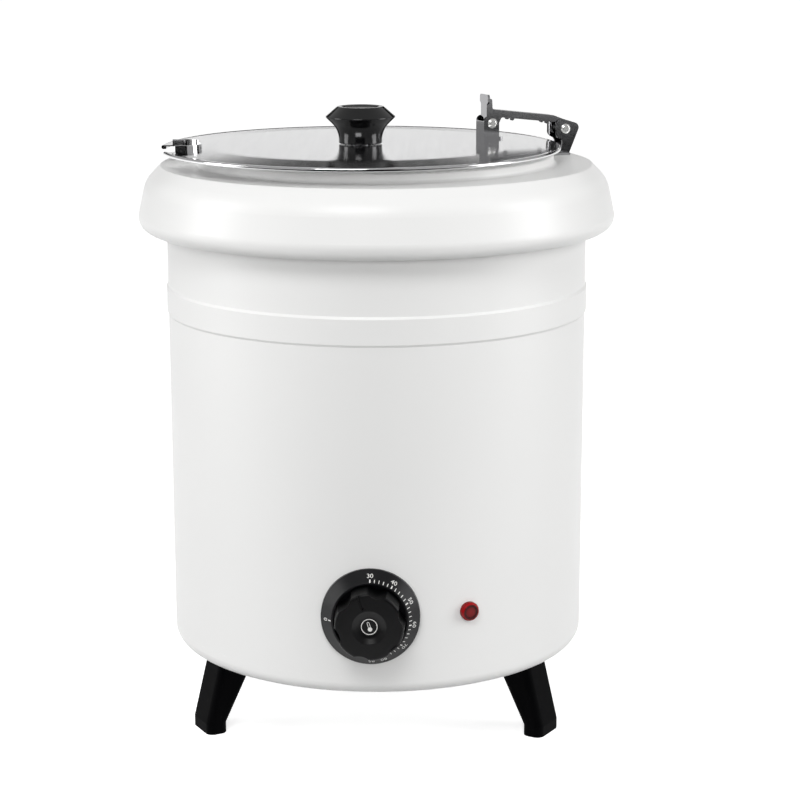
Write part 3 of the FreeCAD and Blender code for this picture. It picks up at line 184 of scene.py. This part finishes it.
finishes = {
    "bodyCoat": makePowderCoat("powderCoatedSteelBody", "#EDEDEC", "#E9E9E8", 0.42),  # satin white wall
    "rimCoat": makePowderCoat("powderCoatedSteelRim", "#ECECEB", "#E9E9E8", 0.34),  # a little glossier
    "lidSteel": makeStainless("stainlessSheetPolished", "#DCDCDD", 0.09, 0.15, 3.0),  # near mirror
    "potSteel": makeStainless("stainlessSheetDrawn", "#D6D6D4", 0.28, 0.38, 2.0),  # soft drawn sheen
    "hingeSteel": makeStainless("stainlessStripPolished", "#A6A6A8", 0.06, 0.12, 2.0),  # dark bright strip
    "rivetSteel": makeStainless("steelPinTurned", "#ECECEA", 0.18, 0.26, 1.0),  # bright heads
    "zincSteel": makeStainless("steelZincPlated", "#A9ADB2", 0.28, 0.42, 1.5),  # dull blue-grey plating
    "sheath": makeStainless("elementSheathOxidised", "#6E655C", 0.45, 0.6, 1.5),  # brown heat-stained tube
    "copper": makeStainless("copperTubeDrawn", "#C98A66", 0.25, 0.4, 1.0),  # warm drawn tube
    "bakelite": makeMoulded("bakeliteMouldedBlack", "#060607", 0.14, 0.6, 0.02, 0.25, 0.4),  # deep gloss
    "dial": makeMoulded("absMouldedDial", "#101012", 0.36, 0.5, 0.10, 0.0, 0.20),  # satin charcoal
    "knob": makeMoulded("absMouldedKnob", "#060607", 0.34, 0.5, 0.10, 0.0, 0.20),  # satin black
    "foot": makeMoulded("polypropyleneMouldedFoot", "#030304", 0.55, 0.7, 0.12, 0.0, 0.02),  # dull black
    "nylon": makeMoulded("nylonMouldedBlack", "#141415", 0.5, 0.6, 0.1),  # flat black
    "terminal": makeMoulded("nylonMouldedNatural", "#D8D4C6", 0.5, 0.6, 0.1),  # cream
    "print": makeMoulded("padPrintInkWhite", "#E6E6E3", 0.5, 0.4, 0.05),  # matt white
    # red lens: dye colour with painted shade and highlight rings
    "redLensPaintedLight": makeRedAcrylic(),
}

wearsFinish = {
    "bodyCoat": ["outer_casing", "base_pan"],
    "rimCoat": ["rim_ring"],
    "lidSteel": ["lid"],
    "potSteel": ["soup_pot", "water_well"],
    "hingeSteel": ["hinge_base", "hinge_arm", "lid_bracket", "lid_knob_spacer", "lid_knob_screw"],
    "rivetSteel": ["base_pivot_pin", "lid_pivot_pin", "lid_bracket_rivets", "hinge_base_screws",
                   "hinge_base_nuts"],
    "zincSteel": ["tie_rods", "clamp_nuts", "base_nuts", "foot_screws", "foot_nuts", "element_clamp_plate",
                  "thermostat_bridge", "thermostat_screws", "thermostat_spindle"],
    "sheath": ["heating_element"],
    "copper": ["sensor_bulb", "capillary_tube"],
    "bakelite": ["lid_knob"],
    "dial": ["dial_bezel"],
    "knob": ["control_knob"],
    "foot": ["foot_left", "foot_right", "foot_rear"],
    "nylon": ["cord_gland", "gland_nut", "lamp_holder", "lamp_nut", "thermostat_body", "thermal_cutout"],
    "terminal": ["terminal_block"],
    "redLensPaintedLight": ["lamp_lens"],
}
for finish, names in wearsFinish.items():
    for name in names:
        nodes[name].data.materials.clear()
        nodes[name].data.materials.append(finishes[finish])
print("finishes on", sum(len(v) for v in wearsFinish.values()), "nodes")


def placePiece(name, bm, finish, body):
    bmesh.ops.remove_doubles(bm, verts=bm.verts, dist=1e-6)
    bmesh.ops.recalc_face_normals(bm, faces=bm.faces)
    mesh = bpy.data.meshes.new(name)
    bm.to_mesh(mesh)
    bm.free()
    mesh.materials.append(finishes[finish])
    piece = bpy.data.objects.new(name, mesh)
    scene.collection.objects.link(piece)
    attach(piece, body)
    return piece


def addBar(bm, matrix, width, height, thick):
    size = Matrix.Diagonal((width, height, thick, 1.0))
    bmesh.ops.create_cube(bm, size=1.0, matrix=matrix @ size)


def addRing(bm, matrix, inner, outer, thick, full=True):
    corners = [(inner, 0, 0), (outer, 0, 0), (outer, 0, thick), (inner, 0, thick)]
    face = bm.faces.new([bm.verts.new(matrix @ Vector(c)) for c in corners])
    bmesh.ops.spin(bm, geom=[face] + face.edges[:] + face.verts[:], cent=matrix.translation,
                   axis=matrix.to_3x3() @ Vector((0, 0, 1)), angle=math.tau if full else math.pi,
                   steps=48, use_merge=full)
    if full:
        bm.faces.remove(face)


def addWords(bm, words, matrix, height, thick):
    curve = bpy.data.curves.new("dialWords", "FONT")
    curve.body = words
    curve.size = height / 0.70  # figures are about 0.7 of the type size
    curve.align_x = "CENTER"
    curve.align_y = "CENTER"
    curve.extrude = thick / 2
    curve.resolution_u = 3
    holder = bpy.data.objects.new("dialWords", curve)
    scene.collection.objects.link(holder)
    bpy.context.view_layer.update()
    solved = holder.evaluated_get(bpy.context.evaluated_depsgraph_get())
    mesh = bpy.data.meshes.new_from_object(solved)
    mesh.transform(matrix)
    bm.from_mesh(mesh)
    bpy.data.objects.remove(holder)
    bpy.data.meshes.remove(mesh)


dialAxis = 105.1  # height of the axis that the dial and its knob share, mm

# Printed scale on the cone of the dial bezel: figures for the heat, a stroke for every two degrees of it.
dialScale = {
    "coneInner": 24.4, "coneOuter": 31.4, "coneFront": -149.2, "coneFall": 7.4,
    "offTurn": -91, "lowest": 30, "turnPerDegree": 3.245, "figures": (30, 40, 50, 60, 70, 80, 85),
    "figureRadius": 28.0, "figureHeight": 3.0,
    "strokes": 28, "strokeEvery": 2, "heavyEvery": 10, "heavyStroke": 0.75, "lightStroke": 0.45,
    "strokeFrom": 24.7, "strokeTo": 26.3, "alongCone": 1.45,  # length on the slope for each mm of radius
    "ink": 0.06, "lift": 0.03,
}


def scaleTurn(heat):
    return (heat - dialScale["lowest"]) * dialScale["turnPerDegree"]


def dialPlace(radius, degrees):
    turn = math.radians(degrees)
    slope = dialScale["coneFall"] / (dialScale["coneOuter"] - dialScale["coneInner"])
    outward = Vector((math.sin(turn), 0, math.cos(turn)))
    across = Vector((math.cos(turn), 0, -math.sin(turn)))
    along = (outward + Vector((0, slope, 0))).normalized()
    away = across.cross(along)
    front = dialScale["coneFront"] + (radius - dialScale["coneInner"]) * slope
    spot = Vector((0, front, dialAxis)) + outward * radius + away * dialScale["lift"]
    return Matrix.Translation(spot * mm) @ Matrix((across, along, away)).transposed().to_4x4()


figures = [("0", dialScale["offTurn"])] + [(str(heat), scaleTurn(heat)) for heat in dialScale["figures"]]
bm = bmesh.new()
for figure, degrees in figures:
    addWords(bm, figure, dialPlace(dialScale["figureRadius"], degrees), dialScale["figureHeight"] * mm,
             dialScale["ink"] * mm)
strokeMiddle = (dialScale["strokeFrom"] + dialScale["strokeTo"]) / 2
strokeLength = (dialScale["strokeTo"] - dialScale["strokeFrom"]) * dialScale["alongCone"]
heats = [dialScale["lowest"] + step * dialScale["strokeEvery"] for step in range(dialScale["strokes"])]
strokes = [(dialScale["offTurn"], True)]
strokes += [(scaleTurn(heat), heat % dialScale["heavyEvery"] == 0) for heat in heats]
for degrees, heavy in strokes:
    width = dialScale["heavyStroke"] if heavy else dialScale["lightStroke"]
    addBar(bm, dialPlace(strokeMiddle, degrees), width * mm, strokeLength * mm, dialScale["ink"] * mm)
placePiece("dialScalePrint", bm, "print", "kettle")
print("dial scale printed")

# Thermometer sign in the dish of the control knob, turned with the pointer.
knobSign = {
    "front": -161.42, "turn": -17, "ringInner": 4.7, "ringOuter": 5.15, "ink": 0.06, "line": 0.32,
    "bulb": 1.4, "bulbCore": 0.05, "bulbDrop": 1.7,
    "stem": 0.66, "stemLength": 3.4, "stemRise": 0.75, "capRise": 2.45,
}
signTurn = math.radians(knobSign["turn"])
signAcross = Vector((math.cos(signTurn), 0, -math.sin(signTurn)))
signUp = Vector((math.sin(signTurn), 0, math.cos(signTurn)))
signPlace = Matrix.Translation((0, knobSign["front"] * mm, dialAxis * mm))
signPlace = signPlace @ Matrix((signAcross, signUp, Vector((0, -1, 0)))).transposed().to_4x4()
ink = knobSign["ink"] * mm
stem = knobSign["stem"] * mm
line = knobSign["line"] * mm
bm = bmesh.new()
addRing(bm, signPlace, knobSign["ringInner"] * mm, knobSign["ringOuter"] * mm, ink)
bulbPlace = signPlace @ Matrix.Translation((0, -knobSign["bulbDrop"] * mm, 0))
addRing(bm, bulbPlace, knobSign["bulbCore"] * mm, knobSign["bulb"] * mm, ink)
for side in (-1, 1):
    stemPlace = signPlace @ Matrix.Translation((side * stem, knobSign["stemRise"] * mm, ink / 2))
    addBar(bm, stemPlace, line, knobSign["stemLength"] * mm, ink)
capPlace = signPlace @ Matrix.Translation((0, knobSign["capRise"] * mm, 0))
addRing(bm, capPlace, stem - line / 2, stem + line / 2, ink, full=False)
placePiece("knobSignPrint", bm, "print", "knob")
print("knob sign printed")

# Pale studio: floor paper, soft boxes, and dark cards out of view for the steel and plastics to mirror.
studio = {
    "floor": "#F7F7F7", "floorSize": 60, "floorGlow": 0.62, "card": "#050505",
    "skyAbove": 0.44, "skyBelow": 0.30,
}


def addPlane(name, size, place, material):
    bm = bmesh.new()
    spread = Matrix.Diagonal((size[0], size[1], 1, 1))
    bmesh.ops.create_grid(bm, x_segments=1, y_segments=1, size=0.5, matrix=place @ spread)
    mesh = bpy.data.meshes.new(name)
    bm.to_mesh(mesh)
    bm.free()
    mesh.materials.append(material)
    plane = bpy.data.objects.new(name, mesh)
    scene.collection.objects.link(plane)
    return plane


floorPaper, tree, shader = newMaterial("backdropPaperMatt", Roughness=0.9)
shader.inputs["Base Color"].default_value = linearColour(studio["floor"])
shader.inputs["Emission Color"].default_value = (1, 1, 1, 1)
shader.inputs["Emission Strength"].default_value = studio["floorGlow"]
floorSpan = (studio["floorSize"], studio["floorSize"])
floorPlane = addPlane("studioFloor", floorSpan, Matrix.Identity(4), floorPaper)
floorPlane.visible_diffuse = False  # the paper is bright to look at and throws little light back up

cardCloth, tree, shader = newMaterial("blackVelvetCard", Roughness=1.0)
shader.inputs["Base Color"].default_value = linearColour(studio["card"])
shader.inputs["Specular IOR Level"].default_value = 0.0
# name, size, centre, leaned up from flat in degrees, dims the light as well
darkCards = [
    ("frontCard", (2.2, 1.5), (0, -2.3, 0.75), 90, True),
    ("floorCloth", (7.0, 4.6), (0, -2.75, 0.004), 0, False),
    ("backCard", (5.0, 0.85), (0, 2.72, 1.295), 90, False),
]
for name, size, centre, lean, dims in darkCards:
    cardPlace = Matrix.Translation(centre) @ Matrix.Rotation(math.radians(lean), 4, "X")
    card = addPlane(name, size, cardPlace, cardCloth)
    card.visible_camera = False
    card.visible_diffuse = dims
    card.visible_shadow = dims

world = bpy.data.worlds.new("studioWorld")
scene.world = world
world.use_nodes = True
tree = world.node_tree
sky = tree.nodes["Background"]
sky.inputs["Color"].default_value = (1, 1, 1, 1)
way = addNode(tree, "ShaderNodeTexCoord")
axes = addNode(tree, "ShaderNodeSeparateXYZ", None, {"Vector": way.outputs["Generated"]})
rise = addNode(tree, "ShaderNodeMapRange", {
    "From Min": -0.2, "From Max": 0.1, "To Min": studio["skyBelow"], "To Max": studio["skyAbove"],
}, {"Value": axes.outputs["Z"]})
ray = addNode(tree, "ShaderNodeLightPath")
glow = addNode(tree, "ShaderNodeMath", {"operation": "MAXIMUM"}, {
    0: rise.outputs["Result"], 1: ray.outputs["Is Camera Ray"],
})
tree.links.new(glow.outputs["Value"], sky.inputs["Strength"])  # white to look at, dimmer as a light


def addSoftBox(name, place, target, size, power):
    light = bpy.data.lights.new(name, "AREA")
    light.shape = "RECTANGLE"
    light.size, light.size_y = size
    light.energy = power
    lamp = bpy.data.objects.new(name, light)
    scene.collection.objects.link(lamp)
    lamp.location = place
    lamp.rotation_euler = (Vector(target) - Vector(place)).to_track_quat("-Z", "Y").to_euler()
    return lamp


# name, place, aimed at, size in metres, watts, seen in mirrors
softBoxes = [
    ("topFront", (-0.3, -1.6, 1.75), (0, 0, 0.3), (0.9, 0.7), 15, True),
    ("sideLeft", (-1.9, -0.3, 0.8), (0, 0, 0.25), (0.8, 1.4), 15, True),
    ("sideRight", (1.9, -0.3, 0.8), (0, 0, 0.25), (0.8, 1.4), 17, True),
    ("frontFill", (0, -2.0, 0.75), (0, 0, 0.3), (1.2, 0.5), 12, False),
    ("rearFill", (0.5, 2.3, 1.5), (0, 0, 0.25), (1.2, 0.8), 9, False),
    ("backBoard", (0, 2.7, 0.66), (0, 0, 0.4), (3.4, 0.40), 2.0, True),
]
for name, place, target, size, watts, mirrored in softBoxes:
    lamp = addSoftBox(name, place, target, size, watts)
    lamp.visible_glossy = mirrored
    lamp.visible_camera = False

# Where the photograph was taken from: metres and degrees, roll in radians.
photoView = {
    "sensor": 36.0, "lens": 98.49, "shift": 0.0287, "farClip": 200,
    "back": 1.4575, "height": 0.5423, "yaw": 1.9, "pitch": 12.72, "roll": -0.0035,
}
camera = bpy.data.cameras.new("photoCamera")
camera.sensor_fit = "HORIZONTAL"
camera.sensor_width = photoView["sensor"]
camera.lens = photoView["lens"]
camera.shift_x = photoView["shift"]
camera.clip_end = photoView["farClip"]
viewer = bpy.data.objects.new("photoCamera", camera)
scene.collection.objects.link(viewer)
yaw = Matrix.Rotation(math.radians(photoView["yaw"]), 4, "Z")
spot = yaw @ Vector((0, -photoView["back"], photoView["height"]))
aim = yaw @ Matrix.Rotation(math.radians(90 - photoView["pitch"]), 4, "X")
viewer.matrix_world = Matrix.Translation(spot) @ aim @ Matrix.Rotation(photoView["roll"], 4, "Z")
scene.camera = viewer
scene.view_settings.view_transform = "Standard"
print("studio and camera set")

bpy.context.view_layer.update()
